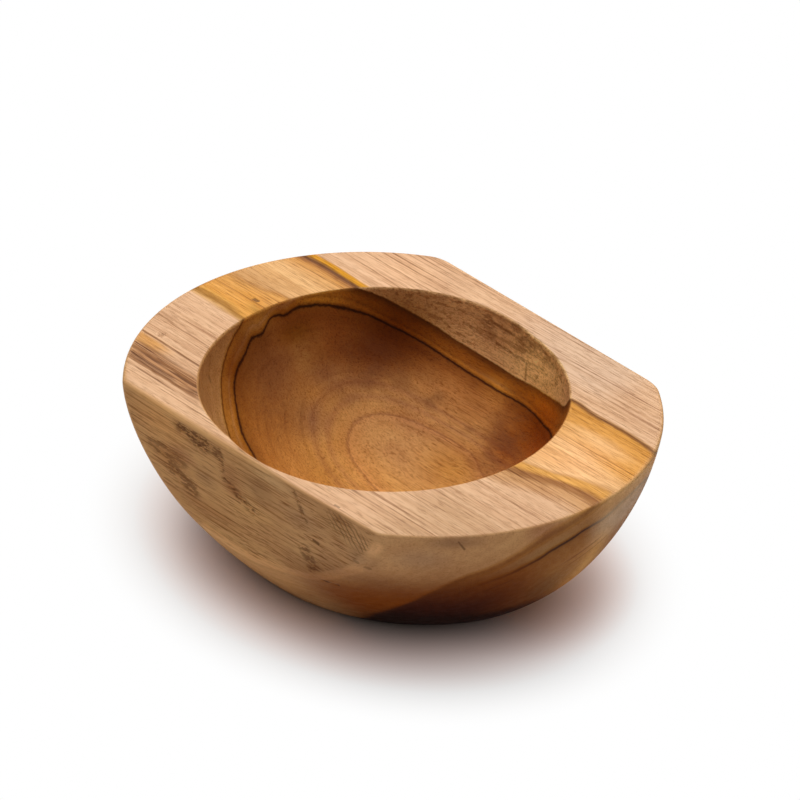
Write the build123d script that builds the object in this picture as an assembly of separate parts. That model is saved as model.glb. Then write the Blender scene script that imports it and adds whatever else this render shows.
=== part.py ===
from build123d import *
import os
from math import radians, tan

# A snack bowl carved from one squared block of teak.
# Millimetres. +X runs along the grain, +Z is up, and the origin is on the
# table under the middle of the finished bowl.

# Outside of the bowl at the rim
HEIGHT = 74.0
RIM_LENGTH = 206.0          # along the grain, end to end
RIM_ROUND_WIDTH = 180.4     # across the grain, before the flats are sawn
RIM_WIDEST_AT = 0.471       # share of the length from the left end
RIM_TURN = 4.8              # degrees the carved ends are turned from the grain

# Foot, the flat patch that the bowl stands on
FOOT_LENGTH = 96.0
FOOT_WIDTH = 76.0
FOOT_SHIFT_X = -4.9         # from under the widest place of the rim
FOOT_SHIFT_Y = -5.2

# Carved wall between foot and rim: powers for how soon it turns upright, and how
# flat it leaves the foot, at the ends and at the sides
END_UPRIGHT_POWER = 2.06
END_FLARE_POWER = 1.51
SIDE_UPRIGHT_POWER = 1.35
SIDE_FLARE_POWER = 1.04
SECTIONS = 8                # carved outlines between foot and rim
SECTION_CROWDING_POWER = 1.7  # above 1 brings the outlines closer at the foot

# The two sawn flats left from the squared block
FRONT_FLAT_REACH = 69.0     # from the widest place of the rim
BACK_FLAT_REACH = 74.5
FRONT_FLAT_TAPER = 1.23     # degrees, both flats close in toward +X
BACK_FLAT_TAPER = 1.6
FRONT_FLAT_RADIUS = 1920.0  # the front flat is very slightly crowned
FRONT_CREASE_ROUND = 5.0    # where a flat runs into the carved wall
BACK_CREASE_ROUND = 9.0

# The hollow, scooped out by a ball that is moved a little along the grain
FRONT_RIM = 3.7             # width of the rim at the front, back and left
BACK_RIM = 11.4
LEFT_RIM = 29.8
HOLLOW_SPREAD = 10.2        # how much longer than wide the hollow is
HOLLOW_TURN = -10.5         # degrees the hollow is turned from the grain
FLOOR_THICKNESS = 17.0

# Eased edges of the rim
RIM_OUTER_EASE = 1.2
RIM_INNER_EASE = 0.9

# Derived
rim_left = RIM_LENGTH * RIM_WIDEST_AT
rim_right = RIM_LENGTH - rim_left
hollow_front = FRONT_FLAT_REACH - FRONT_RIM
hollow_back = BACK_FLAT_REACH - BACK_RIM
hollow_half_width = (hollow_front + hollow_back) / 2
hollow_half_length = hollow_half_width + HOLLOW_SPREAD / 2
hollow_x = LEFT_RIM + hollow_half_length - rim_left
hollow_y = (hollow_back - hollow_front) / 2
hollow_depth = HEIGHT - FLOOR_THICKNESS
ball_radius = (hollow_half_width ** 2 + hollow_depth ** 2) / (2 * hollow_depth)
bowl_middle = ((rim_right - rim_left) / 2, (BACK_FLAT_REACH - FRONT_FLAT_REACH) / 2)


def carved_reach(foot_reach, rim_reach, t, upright, flare):
    """Reach of the carved outside at a share t of the height."""
    return foot_reach + (rim_reach - foot_reach) * (1 - (1 - t) ** upright) ** (1 / flare)


# Carved outside: a skin over egg-shaped outlines from the foot up to the rim
half_turn = 180
quarter_turn = half_turn / 2
outlines = []
for i in range(SECTIONS + 1):
    t = (i / SECTIONS) ** SECTION_CROWDING_POWER
    left = carved_reach(FOOT_LENGTH / 2, rim_left, t, END_UPRIGHT_POWER, END_FLARE_POWER)
    right = carved_reach(FOOT_LENGTH / 2, rim_right, t, END_UPRIGHT_POWER, END_FLARE_POWER)
    side = carved_reach(FOOT_WIDTH / 2, RIM_ROUND_WIDTH / 2, t, SIDE_UPRIGHT_POWER, SIDE_FLARE_POWER)
    right_end = EllipticalCenterArc((0, 0), right, side, start_angle=-quarter_turn, arc_size=half_turn)
    left_end = EllipticalCenterArc((0, 0), left, side, start_angle=quarter_turn, arc_size=half_turn)
    egg = make_face([right_end, left_end])
    middle = (FOOT_SHIFT_X * (1 - t), FOOT_SHIFT_Y * (1 - t), HEIGHT * t)
    outlines.append(Location(middle, (0, 0, RIM_TURN)) * egg)
outside = loft(outlines)

# Squared block: two flats closing in toward +X, the front one crowned
front_slope = tan(radians(FRONT_FLAT_TAPER))
back_slope = tan(radians(BACK_FLAT_TAPER))


def front_flat_y(x):
    """Front flat of the block, seen from above."""
    return x * front_slope + x ** 2 / (2 * FRONT_FLAT_RADIUS) - FRONT_FLAT_REACH


past_end = RIM_LENGTH
front_left = (-past_end, front_flat_y(-past_end))
front_right = (past_end, front_flat_y(past_end))
back_left = (-past_end, BACK_FLAT_REACH + past_end * back_slope)
back_right = (past_end, BACK_FLAT_REACH - past_end * back_slope)
block_outline = [
    ThreePointArc(front_left, (0, front_flat_y(0)), front_right),
    Line(front_right, back_right),
    Line(back_right, back_left),
    Line(back_left, front_left),
]
block = extrude(make_face(block_outline), HEIGHT)
body = outside & block


def creases(flat):
    """Edges of a flat other than its top edge on the rim."""
    below_rim = HEIGHT - RIM_OUTER_EASE
    return flat.edges().filter_by(lambda e: e.bounding_box().min.Z < below_rim)


body = fillet(creases(body.faces().sort_by(Axis.Y)[0]), FRONT_CREASE_ROUND)
body = fillet(creases(body.faces().sort_by(Axis.Y)[-1]), BACK_CREASE_ROUND)

# Hollow: the swept ball, turned about the line that its middle moves along
half_spread = HOLLOW_SPREAD / 2
left_end = CenterArc((-half_spread, 0), ball_radius, quarter_turn, quarter_turn)
right_end = CenterArc((half_spread, 0), ball_radius, 0, quarter_turn)
trough = Line(left_end @ 0, right_end @ 1)
middle_line = Line(left_end @ 1, right_end @ 0)
scoop = revolve(make_face([left_end, trough, right_end, middle_line]), Axis.X)
ball_height = FLOOR_THICKNESS + ball_radius
hollow = Location((hollow_x, hollow_y, ball_height), (0, 0, HOLLOW_TURN)) * scoop
bowl = body - hollow

# Eased edges
rim = bowl.faces().sort_by(Axis.Z)[-1]
bowl = chamfer(rim.outer_wire().edges(), RIM_OUTER_EASE)
rim = bowl.faces().sort_by(Axis.Z)[-1]
bowl = chamfer(rim.inner_wires()[0].edges(), RIM_INNER_EASE)

# Put the middle of the length and of the width across the flats at the origin
bowl = Location((-bowl_middle[0], -bowl_middle[1], 0)) * bowl
bowl.label = "bowl"

os.makedirs("parts", exist_ok=True)
export_step(bowl, "parts/bowl.step")
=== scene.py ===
from math import cos, pi, radians, sin, tan

import bpy
import numpy as np
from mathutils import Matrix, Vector


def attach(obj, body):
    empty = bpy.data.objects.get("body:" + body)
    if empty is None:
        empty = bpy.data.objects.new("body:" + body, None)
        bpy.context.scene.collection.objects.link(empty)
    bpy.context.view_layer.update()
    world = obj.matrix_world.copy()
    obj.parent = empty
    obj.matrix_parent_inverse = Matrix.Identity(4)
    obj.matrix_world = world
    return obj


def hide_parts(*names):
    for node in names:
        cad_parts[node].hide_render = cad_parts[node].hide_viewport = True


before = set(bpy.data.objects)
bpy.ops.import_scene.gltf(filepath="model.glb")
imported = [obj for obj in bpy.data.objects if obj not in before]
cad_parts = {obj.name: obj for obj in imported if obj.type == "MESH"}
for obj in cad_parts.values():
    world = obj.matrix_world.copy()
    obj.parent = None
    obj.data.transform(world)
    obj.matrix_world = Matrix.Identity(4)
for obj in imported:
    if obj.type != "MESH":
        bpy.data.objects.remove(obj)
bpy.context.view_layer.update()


# The bowl's body: one squared block of plantation teak. The ends and the underside
# are carved round, two sides stay as sawn flats, the rim is sanded level, and the
# hollow is scooped out. All sizes here are millimetres, in the part's own frame.
MM = 0.001
HEIGHT = 74.0
RIM_LENGTH = 206.0          # along the grain, end to end
RIM_ROUND_WIDTH = 180.4     # across the grain, before the flats are sawn
RIM_WIDEST_AT = 0.471       # share of the length from the left end
RIM_TURN = radians(4.8)     # of the carved ends, from the grain
FOOT_LENGTH = 96.0
FOOT_WIDTH = 76.0
FOOT_SHIFT_X = -4.9         # from under the widest place of the rim
FOOT_SHIFT_Y = -5.2
END_UPRIGHT = 2.06          # powers: how soon the wall turns upright, and how flat
END_FLARE = 1.51            # it leaves the foot, at the ends and at the sides
SIDE_UPRIGHT = 1.35
SIDE_FLARE = 1.04
FRONT_FLAT_REACH = 69.0     # from the widest place of the rim
BACK_FLAT_REACH = 74.5
FRONT_FLAT_SLOPE = tan(radians(1.23))
BACK_FLAT_SLOPE = tan(radians(1.6))
FRONT_FLAT_RADIUS = 1920.0  # the front flat is very slightly crowned
FRONT_CREASE = 1.6          # blend where a flat runs into the carved wall
BACK_CREASE = 3.0
FRONT_RIM = 3.7             # width of the rim at the front, back and left
BACK_RIM = 11.4
LEFT_RIM = 29.8
HOLLOW_SPREAD = 10.2        # how much longer than wide the hollow is
HOLLOW_TURN = radians(-10.5)
FLOOR_THICKNESS = 17.0
RIM_OUTER_EASE = 0.9        # radius of the rim's outer edge, and along the front flat
FLAT_TOP_EASE = 2.3
RIM_INNER_EASE = 1.0

rim_left = RIM_LENGTH * RIM_WIDEST_AT
rim_right = RIM_LENGTH - rim_left
hollow_front = FRONT_FLAT_REACH - FRONT_RIM
hollow_back = BACK_FLAT_REACH - BACK_RIM
hollow_half_width = (hollow_front + hollow_back) / 2
hollow_x = LEFT_RIM + hollow_half_width + HOLLOW_SPREAD / 2 - rim_left
hollow_y = (hollow_back - hollow_front) / 2
hollow_depth = HEIGHT - FLOOR_THICKNESS
ball_radius = (hollow_half_width ** 2 + hollow_depth ** 2) / (2 * hollow_depth)
ball_height = FLOOR_THICKNESS + ball_radius
middle_x = (rim_right - rim_left) / 2
middle_y = (BACK_FLAT_REACH - FRONT_FLAT_REACH) / 2


def carved_reach(foot_reach, rim_reach, t, upright, flare):
    """Reach of the carved outside at a share t of the height."""
    return foot_reach + (rim_reach - foot_reach) * (1 - (1 - t) ** upright) ** (1 / flare)


def soft_least(a, b, blend):
    """The lesser of two reaches, with the crease between them rounded over."""
    near = np.clip(blend - np.abs(a - b), 0, None)
    return np.minimum(a, b) - near ** 2 / (4 * blend)


LEAST_FACING = 0.4          # a flat only cuts directions that face it this much
CROWN_STEPS = 6             # rounds of stepping onto the crowned flat


def wall_outline(angle, t):
    """The outside at a share t of the height: the carved egg, cut by the two flats."""
    left = carved_reach(FOOT_LENGTH / 2, rim_left, t, END_UPRIGHT, END_FLARE)
    right = carved_reach(FOOT_LENGTH / 2, rim_right, t, END_UPRIGHT, END_FLARE)
    side = carved_reach(FOOT_WIDTH / 2, RIM_ROUND_WIDTH / 2, t, SIDE_UPRIGHT, SIDE_FLARE)
    from_x = FOOT_SHIFT_X * (1 - t)
    from_y = FOOT_SHIFT_Y * (1 - t)
    along = np.cos(angle - RIM_TURN)
    across = np.sin(angle - RIM_TURN)
    egg = 1 / np.hypot(along / np.where(along > 0, right, left), across / side)
    to_x = np.cos(angle)
    to_y = np.sin(angle)
    far = 4 * RIM_LENGTH
    front = np.full_like(egg, FRONT_FLAT_REACH)
    for _ in range(CROWN_STEPS):
        x = from_x + front * to_x
        flat_y = x * FRONT_FLAT_SLOPE + x ** 2 / (2 * FRONT_FLAT_RADIUS) - FRONT_FLAT_REACH
        front = (flat_y - from_y) / np.minimum(to_y, -LEAST_FACING)
    front = np.where(to_y < -LEAST_FACING, front, far)
    toward_back = to_y + BACK_FLAT_SLOPE * to_x
    back = BACK_FLAT_REACH - BACK_FLAT_SLOPE * from_x - from_y
    back = back / np.maximum(toward_back, LEAST_FACING)
    back = np.where(toward_back > LEAST_FACING, back, far)
    reach = soft_least(soft_least(egg, front, FRONT_CREASE), back, BACK_CREASE)
    return from_x + reach * to_x - middle_x, from_y + reach * to_y - middle_y


def hollow_outline(angle, width):
    """The hollow where it is 2 * width across: a circle drawn out along the grain.

    Near the middle of the floor it is drawn out less, so that it closes on one point.
    """
    spread = HOLLOW_SPREAD / 2 * np.minimum(1, width / (4 * HOLLOW_SPREAD))
    along = np.abs(np.cos(angle - HOLLOW_TURN))
    across = np.sin(angle - HOLLOW_TURN)
    reach = spread * along + np.sqrt(width ** 2 - (spread * across) ** 2)
    return (hollow_x + reach * np.cos(angle) - middle_x,
            hollow_y + reach * np.sin(angle) - middle_y)


def outward(x, y):
    """Unit normals of a closed outline that runs anticlockwise."""
    step_x = np.roll(x, -1) - np.roll(x, 1)
    step_y = np.roll(y, -1) - np.roll(y, 1)
    size = np.hypot(step_x, step_y)
    return step_y / size, -step_x / size


# Columns of the mesh go round the bowl, closer together along the front flat.
COLUMNS = 640
FRONT_FLAT_MIDDLE = -pi / 2 - 0.06
FRONT_FLAT_HALF = 0.75
FRONT_FLAT_EXTRA = 0.5
fine = np.linspace(-pi, pi, 4000)
fine_x, fine_y = wall_outline(fine, 1.0)
on_front_flat = np.exp(-((fine - FRONT_FLAT_MIDDLE) / FRONT_FLAT_HALF) ** 6)
run = np.hypot(np.diff(fine_x), np.diff(fine_y)) * (1 + FRONT_FLAT_EXTRA * on_front_flat[1:])
run = np.concatenate([[0], np.cumsum(run)])
angle = np.interp(np.linspace(0, run[-1], COLUMNS, endpoint=False), run, fine)

# Rows of the mesh run from the middle of the foot, up the wall, over the rim and
# down the hollow to the middle of its floor.
FOOT_ROWS = 6
WALL_ROWS = 112
OUTER_EDGE_ROWS = 6
RIM_ROWS = 34
INNER_EDGE_ROWS = 5
HOLLOW_ROWS = 96
rows = []


def add_row(x, y, z):
    """Adds one ring of points at a height, or at a height for each column."""
    rows.append(np.stack([x, y, np.broadcast_to(z, x.shape)], axis=1))


foot_x, foot_y = wall_outline(angle, 0.0)
foot_middle = (FOOT_SHIFT_X - middle_x, FOOT_SHIFT_Y - middle_y)
for i in range(1, FOOT_ROWS):
    share = i / FOOT_ROWS
    add_row(foot_middle[0] + (foot_x - foot_middle[0]) * share,
            foot_middle[1] + (foot_y - foot_middle[1]) * share, 0.0)

# The rim's outer edge is rounded more along the front flat.
FLAT_TOP_MIDDLE = -1.85
FLAT_TOP_HALF = 0.55
along_flat_top = np.exp(-((angle - FLAT_TOP_MIDDLE) / FLAT_TOP_HALF) ** 4)
outer_ease = RIM_OUTER_EASE + (FLAT_TOP_EASE - RIM_OUTER_EASE) * along_flat_top

# Rows up the wall are evenly spaced along its slope, which is flattest at the foot.
CROWDED_AT_FOOT = 1.7
fine_t = np.linspace(0, 1, 2000) ** CROWDED_AT_FOOT
end_reach = carved_reach(FOOT_LENGTH / 2, rim_left, fine_t, END_UPRIGHT, END_FLARE)
side_reach = carved_reach(FOOT_WIDTH / 2, RIM_ROUND_WIDTH / 2, fine_t, SIDE_UPRIGHT, SIDE_FLARE)
slope_run = np.hypot(np.diff((end_reach + side_reach) / 2), np.diff(fine_t) * HEIGHT)
climb = np.concatenate([[0], np.cumsum(slope_run)])
for t in np.interp(np.linspace(0, climb[-1], WALL_ROWS + 1), climb, fine_t):
    height = t * (HEIGHT - outer_ease)
    x, y = wall_outline(angle, height / HEIGHT)
    add_row(x, y, height)

out_x, out_y = outward(x, y)
for i in range(1, OUTER_EDGE_ROWS + 1):
    turn = pi / 2 * i / OUTER_EDGE_ROWS
    inset = outer_ease * (1 - cos(turn))
    add_row(x - out_x * inset, y - out_y * inset, HEIGHT - outer_ease * (1 - sin(turn)))
rim_outer = rows[-1]

steepest = np.arccos((ball_height - HEIGHT + RIM_INNER_EASE) / ball_radius)
hollow_top_x, hollow_top_y = hollow_outline(angle, ball_radius * sin(steepest))
out_x, out_y = outward(hollow_top_x, hollow_top_y)
inner_edge = []
for i in range(INNER_EDGE_ROWS + 1):
    turn = pi / 2 * (1 - i / INNER_EDGE_ROWS)
    inset = RIM_INNER_EASE * (1 - cos(turn))
    inner_edge.append((hollow_top_x + out_x * inset, hollow_top_y + out_y * inset,
                       HEIGHT - RIM_INNER_EASE * (1 - sin(turn))))
for i in range(1, RIM_ROWS):
    share = i / RIM_ROWS
    add_row(rim_outer[:, 0] * (1 - share) + inner_edge[0][0] * share,
            rim_outer[:, 1] * (1 - share) + inner_edge[0][1] * share, HEIGHT)
for x, y, z in inner_edge:
    add_row(x, y, z)
for i in range(1, HOLLOW_ROWS):
    tilt = steepest * (1 - i / HOLLOW_ROWS)
    x, y = hollow_outline(angle, ball_radius * sin(tilt))
    add_row(x, y, ball_height - ball_radius * cos(tilt))

points = np.stack(rows)
row_count = len(rows)
first_wall = FOOT_ROWS - 1
first_rim = first_wall + WALL_ROWS + 1 + OUTER_EDGE_ROWS
first_hollow = first_rim + RIM_ROWS - 1


def ramp(value, low, high):
    """0 up to low, 1 from high on, with a straight climb between; low may be above high."""
    return np.clip((value - low) / (high - low), 0, 1)


# A hand-guided carving wheel leaves long shallow waves in the wall and the hollow. Each
# wave has its turn per millimetre along, across and up, and where it starts.
WAVE_DEPTH = 0.22
HOLLOW_WAVE_SHARE = 0.6
WAVES = [((0.11, 0.05, 0.17), 0.0), ((-0.07, 0.16, 0.10), 1.3), ((0.19, -0.12, 0.06), 4.0)]
facing = np.cross(np.roll(points, -1, axis=1) - np.roll(points, 1, axis=1),
                  np.gradient(points, axis=0))
facing /= np.maximum(np.linalg.norm(facing, axis=2, keepdims=True), 1e-9)
wave = sum(np.sin(points @ turns + start) for turns, start in WAVES) / len(WAVES)
row_number = np.arange(row_count)
carved = (ramp(row_number, first_wall, first_wall + 30)
          * ramp(row_number, first_rim - 6, first_rim - 26))
scooped = ramp(row_number, first_hollow + 8, first_hollow + 24)
wave_depth = WAVE_DEPTH * (carved + HOLLOW_WAVE_SHARE * scooped)
points = points + facing * (wave * wave_depth[:, None])[:, :, None]

# Marks of the work: the saw tore small patches out of the front flat, and a few
# cracks, dents and one worm hole are left. Each runs between two places on the
# surface, with a half width and a depth in millimetres.
TORN_PATCHES = [
    ((-36, -72, 72), (-24, -72, 69), 6.0, 0.45),
    ((-24, -72, 70), (-15, -72, 68), 3.6, 0.28),
    ((-15, -71.8, 70), (-13.5, -71.5, 63), 1.9, 0.28),
    ((-53, -72, 56), (-36, -72, 55.5), 4.5, 0.20),
    ((-42, -72, 50.5), (-30, -72, 46.5), 5.0, 0.24),
    ((-12, -71, 59.5), (2, -71, 53), 2.8, 0.30),
    ((24, -70.5, 72), (30, -70.5, 62), 1.5, 0.25),
    ((29.5, -70.5, 49.5), (35, -70.4, 43.5), 4.0, 0.28),
]
SCORED_PATCH = ((46, -70, 69.5), (57.5, -69.3, 66), 6.5, 0.12)
CRACKS = [
    ((35.3, -67.9, 38.8), (40.8, -65.0, 38.0), 0.65, 0.6),
    ((33.8, -70.2, 56.0), (36.2, -70.1, 55.6), 0.8, 0.35),
    ((84.9, -49.1, 71.8), (85.9, -47.2, 68.2), 0.6, 0.3),
    ((42.5, -67.9, 74), (44.6, -67.8, 74), 0.6, 0.2),
    ((54.3, -69.7, 57.4), (55.6, -69.2, 57.1), 1.0, 0.05),
    ((57.6, -67.2, 55.3), (58.8, -66.3, 54.9), 1.0, 0.05),
    ((-60.6, -38.7, 66), (-59.8, -38.3, 64), 0.9, 0.1),
    ((-81.0, 0.5, 74), (-79.2, 0.7, 74), 1.1, 0.45),
    ((-84.5, -41.5, 74), (-84.3, -41.5, 74), 1.15, 1.6),
]


def closeness(start, end, half_width):
    """1 along the line between two places, easing to 0 at the half width."""
    start = np.array(start, float)
    run_to = np.array(end, float) - start
    share = np.clip((points - start) @ run_to / (run_to @ run_to), 0, 1)
    off = np.linalg.norm(points - start - share[:, :, None] * run_to, axis=2)
    near = np.clip(1 - off / half_width, 0, 1)
    return near * near * (3 - 2 * near)


# Which surface each point is on: a sawn flat, the sanded rim or the hollow.
FLAT_FROM = 0.97            # how squarely a point of a flat faces across the bowl
FLAT_FULL = 0.995
surface = points.shape[:2]
on_wall = (ramp(row_number, first_wall, first_wall + 3)
           * ramp(row_number, first_rim - 5, first_rim - 8))
on_flat = ramp(np.abs(facing[:, :, 1]), FLAT_FROM, FLAT_FULL) * on_wall[:, None]
on_rim = (ramp(row_number, first_rim - 4, first_rim)
          * ramp(row_number, first_hollow + 2, first_hollow))
on_rim = np.broadcast_to(on_rim[:, None], surface)
in_hollow = ramp(row_number, first_hollow, first_hollow + 2)
in_hollow = np.broadcast_to(in_hollow[:, None], surface)

# Torn grain is deep in ticks across the patch; the saw's scoring is an even hollow.
PATCH_FILL = 1.7            # above 1, the middle of a patch is at its full depth
FULLY_TORN = 0.35           # depth from which the torn grain shows in full
TICKS_ALONG = 2.6           # turn of the ticks per millimetre along and up
TICKS_UP = 1.1
SHALLOW_TICK = 0.25
ticks = 0.5 + 0.5 * np.sin(points[:, :, 0] * TICKS_ALONG + points[:, :, 2] * TICKS_UP)
tick_depth = SHALLOW_TICK + (1 - SHALLOW_TICK) * ticks
torn = np.zeros(surface)
sunk = np.zeros(surface)
for start, end, half_width, depth in TORN_PATCHES:
    patch = np.clip(PATCH_FILL * closeness(start, end, half_width), 0, 1) * on_flat
    torn = np.maximum(torn, patch * min(1, depth / FULLY_TORN))
    sunk = np.maximum(sunk, patch * depth * tick_depth)
start, end, half_width, depth = SCORED_PATCH
scored = np.clip(PATCH_FILL * closeness(start, end, half_width), 0, 1) * on_flat
sunk = np.maximum(sunk, scored * depth)
for start, end, half_width, depth in CRACKS:
    sunk = np.maximum(sunk, closeness(start, end, half_width) * depth)
points = points - facing * sunk[:, :, None]

# Dark purple-brown smudges in the hollow, each with its middle, reach and strength.
SMUDGES = [
    ((-27, 42, 38), 5, 0.9),
    ((12, 42, 38), 12, 0.8),
    ((-8, 42, 34), 4, 0.6),
    ((-56, -11, 38), 11, 0.35),
    ((-51, 29, 44), 12, 0.6),
    ((-40, 36, 40), 9, 0.6),
]
smudge = np.zeros(surface)
for middle, reach, strength in SMUDGES:
    off = np.linalg.norm(points - np.array(middle, float), axis=2) / reach
    smudge = np.maximum(smudge, strength * np.exp(-off ** 2))
smudge = smudge * in_hollow

# One skin of quads, closed by a fan of triangles in the foot and one in the hollow.
foot_point = [[foot_middle[0], foot_middle[1], 0.0]]
floor_point = [[hollow_x - middle_x, hollow_y - middle_y, FLOOR_THICKNESS]]
vertices = np.concatenate([foot_point, points.reshape(-1, 3), floor_point]) * MM
last = len(vertices) - 1
column = np.arange(COLUMNS)
beside = (column + 1) % COLUMNS
faces = [(0, 1 + b, 1 + a) for a, b in zip(column, beside)]
for i in range(row_count - 1):
    low = 1 + i * COLUMNS
    high = low + COLUMNS
    faces.extend(zip(low + column, low + beside, high + beside, high + column))
top = 1 + (row_count - 1) * COLUMNS
faces.extend((top + a, top + b, last) for a, b in zip(column, beside))
bowl_mesh = bpy.data.meshes.new("bowl")
bowl_mesh.from_pydata(vertices.tolist(), [], [tuple(int(v) for v in face) for face in faces])
bowl_mesh.shade_smooth()
bowl = bpy.data.objects.new("carved_bowl", bowl_mesh)
bpy.context.collection.objects.link(bowl)

# What the wood needs to know of each point. The first and the last value are for the
# middle of the foot and of the hollow's floor.
for name, values in (("torn", torn), ("scored", scored), ("smudge", smudge),
                     ("inside", in_hollow), ("sanded", on_rim), ("sawn", on_flat)):
    all_values = np.concatenate([values[0, :1], values.ravel(), values[-1, :1]])
    layer = bowl_mesh.attributes.new(name, "FLOAT", "POINT")
    layer.data.foreach_set("value", all_values.astype(np.float32))

# The wood itself: teak heartwood inside paler sapwood, cut through by the carving.
# Its colour comes from where a point lay in the log, so rim, hollow and outside show
# the same growth rings. It is sanded and oiled to a satin finish.
wood = bpy.data.materials.new("oiled_teak")
wood.use_nodes = True
node_tree = wood.node_tree
wood_shader = node_tree.nodes["Principled BSDF"]


def make(kind):
    """A new shader node in the material that is being made."""
    return node_tree.nodes.new("ShaderNode" + kind)


def feed(socket, source):
    """Gives a socket a plain value, or the output of another node."""
    if isinstance(source, bpy.types.NodeSocket):
        node_tree.links.new(source, socket)
    else:
        socket.default_value = source


def calc(operation, *terms):
    """One step of arithmetic on values."""
    node = make("Math")
    node.operation = operation
    for socket, term in zip(node.inputs, terms):
        feed(socket, term)
    return node.outputs["Value"]


def vector_calc(operation, *terms, output="Vector"):
    """One step of arithmetic on places."""
    node = make("VectorMath")
    node.operation = operation
    for socket, term in zip(node.inputs, terms):
        feed(socket, term)
    return node.outputs[output]


def total(*terms):
    """All terms added up."""
    result = terms[0]
    for term in terms[1:]:
        result = calc("ADD", result, term)
    return result


def product(*terms):
    """All terms multiplied."""
    result = terms[0]
    for term in terms[1:]:
        result = calc("MULTIPLY", result, term)
    return result


def rise(value, low, high):
    """0 below low, easing up to 1 at high; low may be above high."""
    node = make("MapRange")
    node.interpolation_type = "SMOOTHSTEP"
    feed(node.inputs["Value"], value)
    node.inputs["From Min"].default_value = low
    node.inputs["From Max"].default_value = high
    return node.outputs["Result"]


def band(value, middle, half_width):
    """1 at the middle value, easing to 0 at half_width either side."""
    off = calc("ABSOLUTE", calc("SUBTRACT", value, middle))
    return rise(off, half_width, 0.0)


def cloud(place, per_mm, detail=2.0, roughness=0.5):
    """Soft noise, 0 to 1, with its own number of features per millimetre each way."""
    node = make("TexNoise")
    node.inputs["Scale"].default_value = 1.0
    node.inputs["Detail"].default_value = detail
    node.inputs["Roughness"].default_value = roughness
    feed(node.inputs["Vector"], vector_calc("MULTIPLY", place, per_mm))
    return node.outputs["Fac"]


def yearly(ring, per_mm, detail=1.0):
    """Noise that only changes from ring to ring."""
    node = make("TexNoise")
    node.noise_dimensions = "1D"
    node.inputs["Scale"].default_value = per_mm
    node.inputs["Detail"].default_value = detail
    feed(node.inputs["W"], ring)
    return node.outputs["Fac"]


def tint(share, under, over, blend="MIX"):
    """One colour laid over another as far as the share, 0 to 1."""
    node = make("Mix")
    node.data_type = "RGBA"
    node.blend_type = blend
    factor, first, second = (node.inputs[i] for i in (0, 6, 7))
    feed(factor, share)
    feed(first, under)
    feed(second, over)
    return node.outputs[2]


def stained(colour, share, change):
    """A colour whose red, green and blue are multiplied, as far as the share."""
    return tint(share, colour, (*change, 1), "MULTIPLY")


def painted(colour, share, shade):
    """A colour that turns into one shade, as far as the share."""
    return tint(share, colour, (*shade, 1))


def shades(value, longest, stops):
    """A run of colours over 0 to longest."""
    node = make("ValToRGB")
    feed(node.inputs["Fac"], calc("DIVIDE", value, longest))
    ramp_stops = node.color_ramp.elements
    while len(ramp_stops) < len(stops):
        ramp_stops.new(1.0)
    for element, (at_value, colour) in zip(ramp_stops, stops):
        element.position = at_value / longest
        element.color = (*colour, 1)
    return node.outputs["Color"]


def near_place(middle, reach):
    """1 at a place in the log, easing to 0 at its reach along, across and up."""
    off = vector_calc("DIVIDE", vector_calc("SUBTRACT", spot, middle), reach)
    return rise(vector_calc("LENGTH", off, output="Value"), 1.0, 0.0)


def near_line(start, end, half_width):
    """1 close to the line between two places, falling to 0 at the half width."""
    run_to = Vector(end) - Vector(start)
    off = vector_calc("SUBTRACT", spot, start)
    share = vector_calc("DOT_PRODUCT", off, tuple(run_to / run_to.length_squared), output="Value")
    share = calc("MINIMUM", calc("MAXIMUM", share, 0.0), 1.0)
    line_point = make("VectorMath")
    line_point.operation = "SCALE"
    line_point.inputs[0].default_value = tuple(run_to)
    feed(line_point.inputs["Scale"], share)
    gap = vector_calc("SUBTRACT", off, line_point.outputs["Vector"])
    return rise(vector_calc("LENGTH", gap, output="Value"), half_width, half_width * 0.4)


def mesh_value(name):
    """What the mesh says of each of its points, under that name."""
    node = make("Attribute")
    node.attribute_name = name
    return node.outputs["Fac"]


# Where a point of the surface is, in millimetres, and on which of the surfaces.
in_metres = make("TexCoord").outputs["Object"]
spot = vector_calc("MULTIPLY", in_metres, (1 / MM, 1 / MM, 1 / MM))
apart = make("SeparateXYZ")
feed(apart.inputs[0], spot)
along, across, up = apart.outputs
inside = mesh_value("inside")
sanded = mesh_value("sanded")
sawn = mesh_value("sawn")
outside = calc("SUBTRACT", calc("SUBTRACT", 1.0, inside), sanded)
smooth = calc("SUBTRACT", outside, sawn)
behind = rise(total(across, product(sanded, -6)), 4, 16)
to_right = rise(along, -5, 40)

# Distance out from the pith. The rings are not round one line: each is a circle whose
# middle has drifted from the pith toward the bowl's rim and front as the tree grew.
PITH_Y = 38.9
PITH_Z = -4.8
PITH_LEAN_Y = 0.0119        # millimetres per millimetre along
PITH_LEAN_Z = 0.0028
DRIFT_Y = -0.53             # of a ring's middle, per millimetre of its radius
DRIFT_Z = 0.53
spare = 1 - DRIFT_Y ** 2 - DRIFT_Z ** 2
off_y = total(across, -PITH_Y, product(along, PITH_LEAN_Y))
off_z = total(up, -PITH_Z, product(along, PITH_LEAN_Z))
drifted = total(product(off_y, DRIFT_Y), product(off_z, DRIFT_Z))
squared = product(total(product(off_y, off_y), product(off_z, off_z)), spare)
root = calc("SQRT", total(product(drifted, drifted), squared))
ring = calc("DIVIDE", calc("SUBTRACT", root, drifted), spare)

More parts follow.
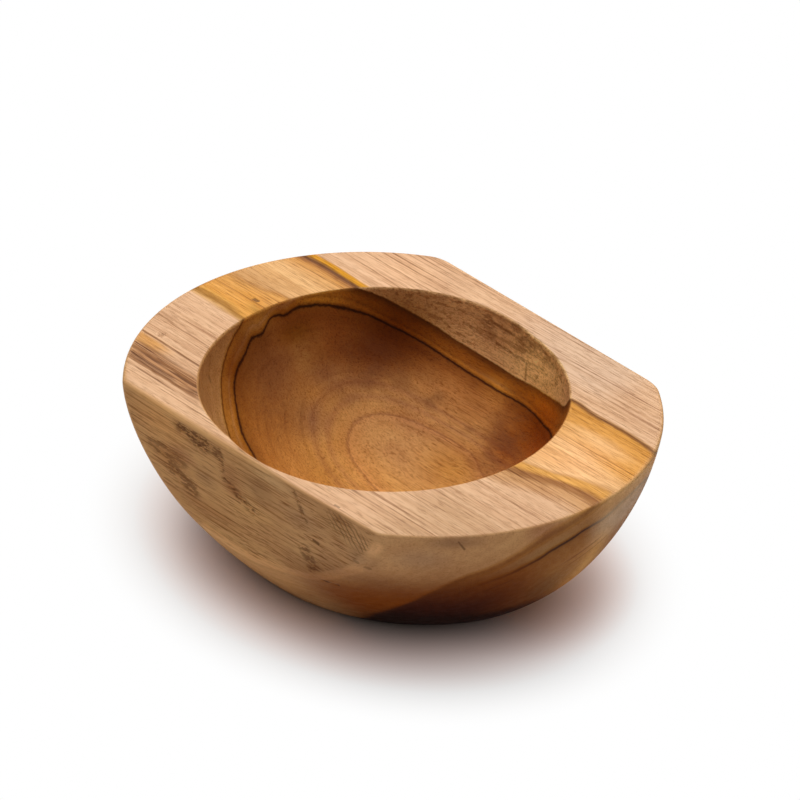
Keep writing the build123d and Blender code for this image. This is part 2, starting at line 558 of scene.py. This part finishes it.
# Where the stem swelled or narrowed: the middle of the place, its reach along, across
# and up, and how far the rings move there.
BULGES = [
    ((60, -52, 30), (50, 40, 45), -3.3),
    ((82, -42, 46), (30, 30, 25), -3.1),
    ((102, 2, 62), (34, 34, 26), 2.1),
    ((95, -10, 76), (45, 22, 18), 0.9),
    ((36, 42, 52), (30, 26, 20), 3.9),
    ((75, 38, 80), (70, 22, 20), -3.5),
    ((-15, 54, 56), (55, 25, 22), 0.5),
    ((-80, 1, 74), (16, 7, 9), 1.3),
    ((82, -5, 74), (32, 20, 14), 0.7),
    ((-80, 37, 74), (28, 26, 14), -0.4),
    ((48, 41, 75), (16, 14, 9), -1.2),
    ((-48, 46, 65), (18, 16, 14), 0.8),
    ((-64, -23, 56), (14, 14, 14), -0.95),
    ((-45, -31, 34), (14, 12, 10), 1.2),
    ((13, 30, 28), (14, 14, 12), 2.2),
    ((-38, 6, 24), (14, 14, 12), -0.6),
    ((-14, 56, 56), (24, 14, 12), -0.9),
    ((40, 45, 66), (10, 9, 8), 1.0),
    ((42, 37, 53), (11, 9, 9), 2.3),
]
for middle, reach, shift in BULGES:
    ring = total(ring, product(near_place(middle, reach), shift))

# The rings also sway and ripple, they kink once beside the left of the hollow, and their
# lines are frayed where the hollow cuts them.
KINK_PLACE = (-72, 0)       # along and across
KINK_REACH = (14, 20)
KINK_CREST = 8.4            # across, where the rings stand out furthest
KINK_TURN = 0.5             # of the wave, per millimetre across
sway = calc("SUBTRACT", cloud(spot, (0.007, 0.02, 0.02)), 0.5)
ripple = product(calc("SUBTRACT", cloud(spot, (0.03, 0.13, 0.13), 3.0), 0.5), 0.9)
kink_wave = calc("COSINE", product(calc("SUBTRACT", across, KINK_CREST), KINK_TURN))
kink = product(kink_wave, band(along, KINK_PLACE[0], KINK_REACH[0]),
               band(across, KINK_PLACE[1], KINK_REACH[1]))
fray = product(inside, calc("SUBTRACT", cloud(spot, (0.45, 0.9, 0.9)), 0.5), 0.6)
ring = total(ring, sway, ripple, kink, fray)

# The dark band between the second dark line and the sapwood is wider in the hollow's
# back wall than on the rim, and narrower outside under the front.
widen = product(inside, rise(across, 0, 26), rise(up, 74, 64), rise(ring, 38, 46))
ring = total(ring, product(widen, total(0.95, product(rise(ring, 49, 55.5), -1.9))))
narrow = product(outside, rise(across, 8, -6), rise(ring, 44, 48), rise(ring, 54, 51))
ring = total(ring, product(narrow, -1.1))

# Shades from the pith outward: the distance in millimetres, then red, green and blue. The
# heartwood has two thin dark lines, and what lies between the second of them and the
# sapwood differs from front to back and from left to right.
LONGEST = 60.0              # all beyond is sapwood
SAP = (0.87, 0.545, 0.32)
TAN = (1.0, 0.61, 0.27)
FRONT_HEART = [
    (0, (0.84, 0.43, 0.12)), (21.5, (0.84, 0.43, 0.12)), (23.95, (0.78, 0.37, 0.11)),
    (24.25, (0.42, 0.16, 0.052)), (24.45, (0.77, 0.365, 0.10)), (26.2, (0.86, 0.44, 0.12)),
    (27.3, (0.70, 0.33, 0.10)), (28.4, (0.87, 0.45, 0.12)), (30.2, (0.72, 0.34, 0.10)),
    (31.4, (0.86, 0.43, 0.11)), (36, (0.80, 0.37, 0.09)), (44, (0.70, 0.29, 0.06)),
    (48.3, (0.46, 0.17, 0.03)), (48.7, (0.08, 0.022, 0.007)), (49.0, (0.08, 0.022, 0.007)),
    (49.3, (0.44, 0.165, 0.022)), (50.0, (0.68, 0.28, 0.035)),
]
FRONT_LEFT = [
    (51.2, TAN), (51.45, (0.54, 0.25, 0.07)), (51.7, (0.89, 0.455, 0.118)),
    (53.5, (0.90, 0.425, 0.08)), (53.9, (0.72, 0.35, 0.06)), (54.2, (0.44, 0.19, 0.028)),
    (54.45, (0.52, 0.25, 0.045)), (54.75, (0.80, 0.44, 0.14)), (55.2, SAP),
    (LONGEST, SAP),
]
FRONT_RIGHT = [
    (52.6, TAN), (52.85, (0.54, 0.25, 0.06)), (53.05, (0.88, 0.46, 0.10)),
    (53.55, (0.82, 0.41, 0.085)), (53.8, (0.38, 0.155, 0.04)), (54.4, (0.43, 0.19, 0.055)),
    (54.7, (0.70, 0.375, 0.15)), (55.3, (0.71, 0.385, 0.17)), (56.0, SAP),
    (LONGEST, SAP),
]
BACK_HEART = [
    (0, (0.76, 0.34, 0.09)), (21.5, (0.76, 0.34, 0.09)), (23.9, (0.64, 0.26, 0.065)),
    (24.3, (0.36, 0.12, 0.035)), (24.6, (0.58, 0.225, 0.05)), (29, (0.54, 0.21, 0.045)),
    (34, (0.44, 0.16, 0.036)), (43, (0.44, 0.155, 0.033)), (48.2, (0.34, 0.115, 0.022)),
    (48.6, (0.05, 0.014, 0.005)), (48.95, (0.05, 0.014, 0.005)), (49.3, (0.34, 0.12, 0.018)),
    (50.0, (0.62, 0.24, 0.032)),
]
BACK_LEFT = [
    (51.8, TAN), (53.6, (0.80, 0.39, 0.10)), (54.1, (0.56, 0.24, 0.055)),
    (54.5, (0.34, 0.13, 0.035)), (54.9, (0.17, 0.06, 0.018)), (55.25, (0.36, 0.15, 0.02)),
    (55.5, (0.78, 0.345, 0.005)), (56.2, (0.80, 0.355, 0.01)), (56.5, SAP),
    (LONGEST, SAP),
]
BACK_RIGHT = [
    (51.8, TAN), (52.6, (0.84, 0.40, 0.08)), (54.2, (0.76, 0.34, 0.048)),
    (54.7, (0.36, 0.14, 0.022)), (55.0, (0.16, 0.055, 0.016)), (55.25, (0.54, 0.26, 0.08)),
    (55.7, SAP), (LONGEST, SAP),
]
HOLLOW_SAP = (0.86, 0.52, 0.235)
# In the hollow's back wall these shades are darker than on the rim, partly painted shade.
HOLLOW_BACK = [
    (50.6, (0.51, 0.195, 0.028)), (51.0, (0.38, 0.135, 0.02)), (51.4, (0.46, 0.167, 0.024)),
    (52.4, (0.43, 0.15, 0.021)), (53.2, (0.31, 0.105, 0.016)), (54.6, (0.15, 0.048, 0.010)),
    (54.9, (0.34, 0.16, 0.05)), (55.25, HOLLOW_SAP), (LONGEST, HOLLOW_SAP),
]
front_left = shades(ring, LONGEST, FRONT_HEART + FRONT_LEFT)
front_right = shades(ring, LONGEST, FRONT_HEART + FRONT_RIGHT)
front_wood = tint(to_right, front_left, front_right)
back_left = shades(ring, LONGEST, BACK_HEART + BACK_LEFT)
back_right = shades(ring, LONGEST, BACK_HEART + BACK_RIGHT)
back_wood = tint(to_right, back_left, back_right)
back_wood = tint(inside, back_wood, shades(ring, LONGEST, BACK_HEART + HOLLOW_BACK))
upper_back = product(behind, calc("MAXIMUM", calc("SUBTRACT", 1.0, inside), rise(up, 41, 53)))
colour = tint(upper_back, front_wood, back_wood)

# The hollow's left wall is browner, and darker with painted shade; its floor is greyer behind the
# middle.
left_wall = product(inside, calc("SUBTRACT", 1.0, behind))
left_band = product(left_wall, rise(ring, 49.2, 50.0), rise(ring, 54.5, 53.9))
colour = painted(colour, product(left_band, 0.7), (0.62, 0.25, 0.04))
colour = stained(colour, product(left_wall, band(ring, 54.3, 0.5)), (0.55, 0.45, 0.40))
colour = stained(colour, product(left_wall, rise(ring, 54.5, 55)), (0.95, 0.86, 0.56))
# Painted shade over the left of the hollow.
left_painted_shade = product(inside, rise(along, -22, -60))
colour = stained(colour, left_painted_shade, (0.76, 0.72, 0.68))
grey_floor = product(inside, rise(across, 6, 22), rise(up, 54, 42))
colour = stained(colour, grey_floor, (0.84, 0.86, 1.12))

# Places in the hollow where the wood is darker, redder or paler, partly stain and partly painted
# shade and painted light: the middle of each, its reach along, across and up, and what red, green
# and blue are multiplied by.
HOLLOW_STAINS_LIGHT_AND_SHADE = [
    # painted shade over the upper back wall
    ((-48, 42, 58), (32, 28, 26), (0.37, 0.23, 0.03)),
    # painted shade on the left wall
    ((-68, -4, 52), (30, 26, 30), (0.58, 0.56, 0.85)),
    ((36, 30, 44), (30, 32, 26), (0.95, 0.62, 0.35)),
    ((24, 44, 48), (32, 26, 26), (0.58, 0.38, 0.14)),
    # painted light on the right of the back wall's sapwood
    ((18, 57, 66), (34, 20, 20), (1.45, 1.70, 1.60)),
    ((-67, 22, 72), (16, 18, 6), (1.55, 1.95, 1.85)),
    ((14, 40, 36), (20, 18, 14), (0.62, 0.42, 0.30)),
    ((0, 27, 25), (26, 20, 14), (1.0, 0.92, 0.62)),
    ((-40, 24, 32), (18, 16, 12), (1.30, 1.42, 1.35)),
    ((-51, 3, 34), (12, 13, 14), (0.74, 0.74, 1.05)),
    ((-54, 33, 47), (20, 14, 12), (0.66, 0.52, 0.50)),
    ((-66, 13, 54), (10, 12, 14), (1.28, 1.55, 1.75)),
    ((-56, -32, 47), (14, 14, 12), (1.28, 1.38, 1.30)),
    ((-3, 52, 48), (12, 10, 10), (1.35, 1.50, 1.50)),
    ((-72, -4, 70), (12, 12, 8), (1.35, 1.60, 1.70)),
    ((-33, -8, 22), (16, 14, 12), (0.82, 0.76, 0.64)),
    ((-69, 10, 61), (10, 14, 7), (0.74, 0.68, 0.40)),
    ((-59, 15, 45), (10, 12, 8), (0.78, 0.76, 0.95)),
    ((-67, -23, 61), (8, 8, 8), (0.82, 0.68, 0.50)),
]
for middle, reach, change in HOLLOW_STAINS_LIGHT_AND_SHADE:
    colour = stained(colour, product(inside, near_place(middle, reach)), change)

# At one place of the back wall the dark band is paler: painted light.
painted_light_band = product(inside, near_place((26, 50, 58), (24, 12, 10)), rise(ring, 55.3, 54.7))
colour = stained(colour, painted_light_band, (1.75, 1.70, 1.25))

# Outside, the upper right end has painted light and a painted sheen, the lower right of the front
# has painted shade, and under the front the heartwood is almost black with gold wood above it,
# both partly painted shade deepening toward the floor.
front_heart = product(outside, rise(across, 8, -6), rise(ring, 55.2, 54.4))
colour = stained(colour, front_heart, (0.74, 0.66, 0.72))
front_band = product(outside, rise(across, 8, -6), rise(ring, 49.3, 50.2),
                     rise(ring, 55.4, 54.6))
colour = painted(colour, product(front_band, 0.7), (0.50, 0.25, 0.10))
# Painted light on the upper right end, and a whitish painted sheen on its heartwood.
right_end_painted_light = product(outside, rise(along, 84, 100), rise(up, 48, 66), rise(across, -6, 8))
colour = painted(colour, product(right_end_painted_light, 0.6), (0.98, 0.70, 0.48))
right_end_painted_sheen = product(outside, rise(along, 82, 97), rise(ring, 53.5, 50.5), rise(up, 72, 60))
colour = stained(colour, right_end_painted_sheen, (1.08, 1.39, 2.1))
# Painted shade on the lower right of the front.
low_right_painted_shade = product(outside, rise(across, 4, -14), rise(up, 58, 34), rise(along, 10, 50))
colour = stained(colour, low_right_painted_shade, (0.42, 0.40, 0.42))
# Under the front the wood darkens toward the floor: partly its own dark heartwood and gold,
# partly painted shade.
low_front = product(rise(up, 36, 20), rise(across, 6, -14))
under = product(outside, calc("MAXIMUM", rise(across, -10, -34), low_front))
level = total(up, product(along, -0.25), 12.5)
golden_and_shade = product(under, rise(level, 60, 30), rise(along, 8, 44))
colour = painted(colour, golden_and_shade, (0.345, 0.092, 0.002))
darkest_and_shade = product(under, rise(up, 60, 30))
colour = painted(colour, product(darkest_and_shade, rise(ring, 55.4, 54.2)), (0.085, 0.015, 0.004))
lowest_and_shade = product(darkest_and_shade, rise(ring, 57, 53), rise(up, 34, 20))
colour = painted(colour, lowest_and_shade, (0.032, 0.006, 0.003))

# Years differ a little in tone, and a few of them leave a thin dark line.
year_tone = rise(yearly(ring, 0.30, 4.0), 0.32, 0.68)
colour = stained(colour, product(year_tone, 0.16), (0.66, 0.53, 0.42))
line_fade = rise(cloud(spot, (0.015, 0.05, 0.05)), 0.40, 0.62)
OTHER_YEARS = 300           # far along the noise, so that lines and tones don't go together
clear_of_sap = calc("SUBTRACT", 1.0, product(outside, rise(ring, 57, 62)))
thin_year = rise(yearly(total(ring, OTHER_YEARS), 0.85, 0.0), 0.68, 0.78)
thin_year = product(thin_year, line_fade, clear_of_sap)
line_strength = total(0.52, product(inside, -0.34))
colour = stained(colour, product(thin_year, line_strength), (0.42, 0.28, 0.18))

# Brown stripes in the sapwood of the left front corner, and finer lines beside them.
wander = product(cloud(spot, (0.02, 0.25, 0.25)), 1.6)
left_corner = product(sanded, rise(along, -28, -48), rise(across, 0, -20))
gold_corner = product(left_corner, rise(along, -68, -82), rise(ring, 65.8, 66.8),
                      rise(ring, 69.2, 68.2))
colour = painted(colour, product(gold_corner, 0.8), (0.80, 0.38, 0.085))
stripe_zone = product(left_corner, rise(ring, 67.6, 69.2), rise(ring, 73.4, 71.8))
stripes = rise(yearly(total(ring, wander), 1.5, 3.0), 0.45, 0.54)
stripe_break = rise(cloud(spot, (0.05, 0.5, 0.5)), 0.30, 0.52)
colour = painted(colour, product(stripe_zone, 0.60), (0.46, 0.18, 0.033))
colour = painted(colour, product(stripe_zone, stripes, stripe_break, 0.9), (0.17, 0.06, 0.018))
edge_lines = calc("MAXIMUM", band(ring, 65.95, 0.35), band(ring, 74.0, 0.35))
colour = painted(colour, product(left_corner, edge_lines, stripe_break, 0.8), (0.26, 0.10, 0.03))
fine_years = rise(yearly(total(ring, wander, 80), 0.8), 0.62, 0.70)
fine_lines = product(rise(ring, 56, 58), rise(along, -30, -55), sanded, fine_years)
colour = painted(colour, product(fine_lines, 0.7), (0.36, 0.155, 0.05))

# The rim has painted light to the right of the hollow, is paler behind it, and a little darker at
# the right of its front.
right_rim_painted_light = product(sanded, near_place((78, 13, 74), (36, 28, 12)))
colour = stained(colour, right_rim_painted_light, (1.25, 1.25, 1.36))
back_rim = product(sanded, rise(across, 42, 54), rise(along, -20, 20), rise(along, 66, 46))
colour = stained(colour, back_rim, (0.96, 1.04, 1.18))
back_left_rim = product(sanded, near_place((-60, 55, 74), (30, 22, 12)))
colour = stained(colour, back_left_rim, (1.09, 1.08, 1.07))
front_rim = product(sanded, rise(across, -22, -42), rise(along, 46, 74))
colour = stained(colour, front_rim, (0.85, 0.84, 0.80))

# Grain along the log: broad soft streaks, fine lines, then the open pores as dashes.
broad = rise(cloud(spot, (0.010, 0.42, 0.42), 3.0, 0.55), 0.32, 0.68)
colour = stained(colour, product(broad, 0.24), (0.70, 0.57, 0.46))
lines = rise(cloud(spot, (0.022, 1.7, 1.7), 2.0, 0.6), 0.51, 0.63)
line_depth = total(0.42, product(sawn, 0.30), product(smooth, -0.15))
colour = stained(colour, product(lines, line_depth), (0.60, 0.46, 0.35))
long_lines = product(sanded, rise(cloud(spot, (0.009, 0.85, 0.85), 1.0), 0.64, 0.70))
colour = stained(colour, product(long_lines, 0.6), (0.50, 0.36, 0.26))
dashes = rise(cloud(spot, (0.07, 1.5, 1.5), 2.0, 0.6), 0.60, 0.68)
dash_depth = total(0.42, product(sawn, 0.20), product(smooth, -0.20))
colour = stained(colour, product(dashes, dash_depth), (0.42, 0.27, 0.17))
pores = rise(cloud(spot, (0.16, 3.2, 3.2), 1.0), 0.58, 0.68)
pore_depth = total(0.40, product(smooth, -0.22))
colour = stained(colour, product(pores, pore_depth), (0.38, 0.24, 0.15))

# The hollow cuts across the pores, so it is speckled, most of all in the sapwood of
# the back wall, which has streaks and blots as well.
end_grain = product(inside, total(0.35, product(behind, rise(ring, 55.0, 56.0), 0.9)))
speckle = rise(cloud(spot, (0.75, 1.1, 1.1), 3.0, 0.7), 0.46, 0.62)
colour = stained(colour, product(speckle, end_grain, 0.36), (0.50, 0.36, 0.25))
back_wall = product(inside, behind)
streaks = rise(cloud(spot, (0.02, 0.45, 0.45), 2.0, 0.6), 0.55, 0.64)
wall_streaks = product(back_wall, rise(ring, 55.5, 57), streaks)
colour = stained(colour, product(wall_streaks, 0.55), (0.48, 0.36, 0.26))
blots = rise(cloud(spot, (0.10, 0.3, 0.3), 3.0, 0.6), 0.46, 0.60)
wall_blots = product(back_wall, rise(ring, 61, 67), blots)
colour = stained(colour, product(wall_blots, 0.35), (0.40, 0.27, 0.20))

# Dark dashes and blots in that sapwood, each between two places, with a half width and
# how dark it is.
WALL_MARKS = [
    ((-27, 56.9, 65.3), (-19, 58.3, 63.3), 0.9, 0.5),
    ((-19, 58.3, 63.3), (-11.2, 58.8, 62.7), 0.8, 0.4),
    ((-11.2, 58.8, 62.7), (-1.9, 58.4, 62.4), 0.9, 0.7),
    ((-1.9, 58.4, 62.4), (7.6, 57.1, 63.5), 0.9, 0.6),
    ((7.6, 57.1, 63.5), (24.3, 53.7, 66.9), 0.9, 0.3),
    ((-14, 60.3, 69.3), (-3.5, 60.3, 69.1), 1.0, 0.7),
    ((6.7, 57.3, 63.4), (8.9, 54.8, 57.6), 0.8, 0.5),
    ((-16.9, 60.1, 69.8), (-14.2, 59.2, 64.7), 3.6, 0.5),
    ((-3.4, 61, 73), (0.4, 59.9, 69.8), 3.2, 0.55),
    ((1.8, 59.6, 69.2), (13.1, 57.7, 70.4), 3.8, 0.45),
    ((13.1, 57.7, 70.4), (25.2, 54.2, 71), 3.8, 0.35),
]
wall_mark = 0.0
for start, end, half_width, darkness in WALL_MARKS:
    wall_mark = calc("MAXIMUM", wall_mark, product(near_line(start, end, half_width), darkness))
mark_break = rise(cloud(spot, (0.35, 0.7, 0.7), 3.0), 0.32, 0.54)
colour = stained(colour, product(inside, wall_mark, mark_break), (0.30, 0.19, 0.12))

# Oil has drawn in unevenly, most of all in the hollow, where it has left the smudges.
mottle = rise(cloud(spot, (0.04, 0.07, 0.07), 4.0, 0.6), 0.42, 0.66)
mottle_depth = total(0.14, product(inside, 0.12))
colour = stained(colour, product(mottle, mottle_depth), (0.64, 0.48, 0.44))
smudged = product(mesh_value("smudge"), rise(cloud(spot, (0.08, 0.2, 0.2), 3.0), 0.34, 0.60))
colour = painted(colour, product(smudged, 0.7), (0.19, 0.07, 0.03))

# The outside is browner than the sanded rim, and its front a little duller still.
colour = stained(colour, outside, (0.87, 0.80, 0.58))
front_side = product(outside, rise(across, -20, -44), rise(along, -10, 50))
colour = stained(colour, front_side, (0.94, 0.94, 1.02))

# Paler and darker places on the front flat and round it, given as for the hollow: partly stain,
# partly painted light on the lower flat near the crease and painted shade low under the front.
FLAT_STAINS_LIGHT_AND_SHADE = [
    ((-48, -72, 67), (22, 10, 13), (1.22, 1.18, 1.08)),
    ((-44, -72, 53), (16, 10, 8), (0.86, 0.77, 0.68)),
    ((2, -71, 53), (18, 10, 7), (1.12, 1.16, 1.12)),
    ((6, -71, 64), (14, 8, 8), (0.77, 0.76, 0.76)),
    ((46, -70, 67), (14, 8, 8), (0.86, 0.84, 0.77)),
    ((12, -71, 71), (16, 8, 5), (1.1, 1.2, 1.3)),
    ((-8, -71, 57), (9, 8, 5), (0.80, 0.68, 0.64)),
    ((-36, -72, 58.5), (12, 8, 5), (0.76, 0.66, 0.66)),
    ((27, -70, 62), (16, 8, 7), (0.84, 0.84, 0.88)),
    ((58, -69, 59), (11, 8, 8), (0.72, 0.72, 0.75)),
    ((84, -50, 71.5), (16, 14, 5), (0.66, 0.63, 0.67)),
    ((99, -22, 71), (10, 12, 8), (0.79, 0.69, 0.75)),
    ((-22, -72, 42), (30, 10, 6), (0.82, 0.74, 0.68)),
    ((75, -57, 63), (18, 14, 9), (0.85, 0.88, 1.0)),
    # painted light on the lower flat near the crease
    ((26, -70, 50), (14, 8, 7), (1.15, 1.22, 1.25)),
    ((-23, -71.5, 55), (11, 8, 6), (0.80, 0.79, 0.80)),
    ((-9, -71.3, 62.5), (10, 8, 6), (0.80, 0.73, 0.72)),
    # painted shade low under the front
    ((14, -58, 18), (14, 14, 10), (0.82, 0.74, 0.68)),
    # painted light on the lower flat near the crease
    ((44, -66, 42.5), (16, 10, 7), (1.17, 1.25, 1.24)),
]
for middle, reach, change in FLAT_STAINS_LIGHT_AND_SHADE:
    colour = stained(colour, product(outside, near_place(middle, reach)), change)

# Along the crease where the front flat meets the carved wall, a paler strip is a painted
# highlight.
CREASE = [
    (-24, -72, 32.5),
    (0, -71.5, 32.3),
    (20, -70.6, 35.7),
    (34.3, -69.1, 39.8),
    (54, -68.1, 52.9),
    (64, -67.2, 68),
]
CREASE_HALF = 3.2
crease_highlight = 0.0
for start, end in zip(CREASE, CREASE[1:]):
    crease_highlight = calc("MAXIMUM", crease_highlight, near_line(start, end, CREASE_HALF))
colour = stained(colour, product(outside, crease_highlight), (1.2, 1.22, 1.24))

# Torn grain, saw lines, cracks and the worm hole are darker than the sanded wood. The saw
# lines slant down along the flat and waver.
torn_here = mesh_value("torn")
flecks = rise(cloud(spot, (0.22, 1.1, 0.9), 3.0, 0.6), 0.46, 0.53)
torn_fleck = product(torn_here, flecks)
colour = stained(colour, product(torn_here, 0.25), (0.66, 0.50, 0.40))
colour = painted(colour, product(torn_fleck, 0.8), (0.145, 0.056, 0.024))
SAW_ALONG = 2.4             # turn of the saw lines per millimetre along and up
SAW_UP = 2.1
SAW_WAVER = 11.0
waver = product(cloud(spot, (0.15, 0.15, 0.15), 3.0), SAW_WAVER)
slant = total(product(along, SAW_ALONG), product(up, SAW_UP), waver)
saw_lines = product(mesh_value("scored"), rise(calc("SINE", slant), 0.35, 0.85))
colour = painted(colour, product(saw_lines, 0.52), (0.16, 0.078, 0.036))
FAINTEST_CRACK = 0.35       # a deeper one is darker by its depth in millimetres
for start, end, half_width, depth in CRACKS:
    mark = product(near_line(start, end, half_width), min(1.0, FAINTEST_CRACK + depth))
    colour = painted(colour, product(mark, 0.9), (0.09, 0.036, 0.016))

# A thin oil finish: satin on the sanded wood, duller on the sawn and torn. Pores and lines
# are felt as fine grooves.
OIL_SHINE = 0.08
SANDED_ROUGHNESS = 0.46
GROOVE_DEPTH = 0.12 * MM
GROOVE_STRENGTH = 0.6
feed(wood_shader.inputs["Base Color"], colour)
wood_shader.inputs["Specular IOR Level"].default_value = OIL_SHINE
rougher = total(product(broad, 0.10), product(sawn, 0.15), product(torn_here, 0.15))
feed(wood_shader.inputs["Roughness"], total(SANDED_ROUGHNESS, rougher))
grooves = total(pores, product(lines, 0.8), product(dashes, 0.8), product(torn_fleck, 2.5),
                product(saw_lines, 1.5), product(speckle, end_grain, 1.2))
grooves = product(grooves, total(1.0, product(smooth, -0.6)))
bump = make("Bump")
bump.inputs["Strength"].default_value = GROOVE_STRENGTH
bump.inputs["Distance"].default_value = GROOVE_DEPTH
feed(bump.inputs["Height"], calc("SUBTRACT", product(broad, 0.3), grooves))
feed(wood_shader.inputs["Normal"], bump.outputs["Normal"])
bowl_mesh.materials.append(wood)

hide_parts("bowl")
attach(bowl, "root")

# The studio floor: a sheet of matt white paper that the bowl stands on. Close to the bowl
# it keeps the soft shadow, and away from it the camera sees it run out to pure white.
FLOOR_HALF = 3.0
corners = [(-FLOOR_HALF, -FLOOR_HALF, 0), (FLOOR_HALF, -FLOOR_HALF, 0),
           (FLOOR_HALF, FLOOR_HALF, 0), (-FLOOR_HALF, FLOOR_HALF, 0)]
floor_mesh = bpy.data.meshes.new("studio_floor")
floor_mesh.from_pydata(corners, [], [(0, 1, 2, 3)])
floor = bpy.data.objects.new("studio_floor", floor_mesh)
bpy.context.collection.objects.link(floor)

LIT_PAPER = (0.90, 0.84, 0.79, 1)           # what the paper throws back at the bowl
SHADED_PAPER = (0.70, 0.62, 0.57, 1)        # what the camera sees of it in the shadow
SHADOW_STRETCH = (0.89, 1.1236, 1)          # the shadow is an oval, long along the bowl
SHADOW_MIDDLE = (-0.01032, 0.0017, 0)       # metres, as all that follows
SHADOW_FADES = (0.04925, 0.114)             # from its middle: where it thins and ends
MIRRORED_FADES = (0.14, 0.30)               # the same, where the paper is reflected
DEEP_MIDDLE = (0.044, 0.0195, 0)            # it is deeper under the right end
DEEP_REACH = 0.0505
DEEP_LEAST = 0.05                           # share of white left in the middle of that
# The warm start of the fade is painted warm light, as thrown back onto the paper from the wood.
WARM_WHITE = (1.0, 0.693, 0.623)            # the first of the fade is warm
WARM_UNTIL = 0.754


def mix_shaders(share, first, second):
    """Two surfaces or backgrounds, the second as far as the share."""
    node = make("MixShader")
    for socket, source in zip(node.inputs, (share, first, second)):
        feed(socket, source)
    return node.outputs["Shader"]


paper = bpy.data.materials.new("white_paper")
paper.use_nodes = True
node_tree = paper.node_tree
node_tree.nodes.clear()
seen = make("LightPath").outputs
place = make("TexCoord").outputs["Object"]
oval = vector_calc("MULTIPLY", place, SHADOW_STRETCH)
away = vector_calc("DISTANCE", oval, SHADOW_MIDDLE, output="Value")
white_seen = product(rise(away, *SHADOW_FADES), seen["Is Camera Ray"])
mirrored = calc("MAXIMUM", seen["Is Glossy Ray"], seen["Is Transmission Ray"])
white_mirrored = product(rise(away, *MIRRORED_FADES), mirrored)
from_deep = vector_calc("DISTANCE", place, DEEP_MIDDLE, output="Value")
deep = total(DEEP_LEAST, product(rise(from_deep, 0.0, DEEP_REACH), 1 - DEEP_LEAST))
white_share = product(calc("MAXIMUM", white_seen, white_mirrored), deep)
lit_paper = make("BsdfDiffuse")
lit_paper.inputs["Color"].default_value = LIT_PAPER
shaded_paper = make("BsdfDiffuse")
shaded_paper.inputs["Color"].default_value = SHADED_PAPER
matt_paper = mix_shaders(seen["Is Camera Ray"], lit_paper.outputs["BSDF"],
                         shaded_paper.outputs["BSDF"])
white_paper = make("Emission")
feed(white_paper.inputs["Color"],
     shades(white_share, 1.0, [(0.0, WARM_WHITE), (WARM_UNTIL, (1, 1, 1))]))
paper_out = make("OutputMaterial")
feed(paper_out.inputs["Surface"],
     mix_shaders(white_share, matt_paper, white_paper.outputs["Emission"]))
floor_mesh.materials.append(paper)

# The room round the table: nearly dark, so that the lamps do the lighting, and pale where
# the camera looks past the paper.
ROOM_COLOUR = (0.92, 0.96, 1.0, 1)
ROOM_LIGHT = 0.02
world = bpy.data.worlds.new("studio")
world.use_nodes = True
bpy.context.scene.world = world
node_tree = world.node_tree
node_tree.nodes.clear()
dark_room = make("Background")
dark_room.inputs["Color"].default_value = ROOM_COLOUR
dark_room.inputs["Strength"].default_value = ROOM_LIGHT
backdrop = make("Background")
room_out = make("OutputWorld")
feed(room_out.inputs["Surface"],
     mix_shaders(make("LightPath").outputs["Is Camera Ray"], dark_room.outputs["Background"],
                 backdrop.outputs["Background"]))

# The camera: a long lens on a stand, above the front right corner of the bowl and aimed
# just in front of the middle of the rim.
VIEW_AZIMUTH = 48.0         # degrees round from the front
VIEW_ELEVATION = 32.4
VIEW_DISTANCE = 1.5
AIM = Vector((7.37, -6.06, HEIGHT)) * MM
LENS = 188.5
SENSOR = 36.0
NEAREST = 0.05


def toward(azimuth, elevation):
    """Direction from the bowl, in degrees round from its front and up."""
    level_part = cos(radians(elevation))
    return Vector((sin(radians(azimuth)) * level_part, -cos(radians(azimuth)) * level_part,
                   sin(radians(elevation))))


toward_camera = toward(VIEW_AZIMUTH, VIEW_ELEVATION)
camera_data = bpy.data.cameras.new("camera")
camera_data.lens = LENS
camera_data.sensor_width = SENSOR
camera_data.clip_start = NEAREST
camera = bpy.data.objects.new("camera", camera_data)
camera.location = AIM + toward_camera * VIEW_DISTANCE
camera.rotation_euler = toward_camera.to_track_quat("Z", "Y").to_euler()
bpy.context.collection.objects.link(camera)
bpy.context.scene.camera = camera
bpy.context.scene.view_settings.view_transform = "Standard"

# Four square softboxes on stands, all aimed at the foot of the bowl. The strong two are
# above it and behind it, so the rim is bright and the front is in shade. Each has its
# degrees round from the camera and up, its size in metres, its watts and its colour.
LAMP_DISTANCE = 1.3
SOFTBOXES = [
    ("softbox_above", 180, 88, 1.0, 10.8, (1.0, 0.99, 0.97)),
    ("softbox_behind", 178, 40, 0.9, 9.4, (1.0, 0.98, 0.95)),
    ("softbox_front", -10, 54, 1.2, 2.7, (1.0, 0.97, 0.93)),
    ("softbox_right", 85, 30, 0.8, 0.4, (1.0, 0.98, 0.96)),
]
for name, turn, lift, size, watts, lamp_colour in SOFTBOXES:
    to_lamp = toward(VIEW_AZIMUTH + turn, lift)
    lamp_data = bpy.data.lights.new(name, "AREA")
    lamp_data.shape = "SQUARE"
    lamp_data.size = size
    lamp_data.energy = watts
    lamp_data.color = lamp_colour
    lamp = bpy.data.objects.new(name, lamp_data)
    lamp.location = to_lamp * LAMP_DISTANCE
    lamp.rotation_euler = to_lamp.to_track_quat("Z", "Y").to_euler()
    bpy.context.collection.objects.link(lamp)
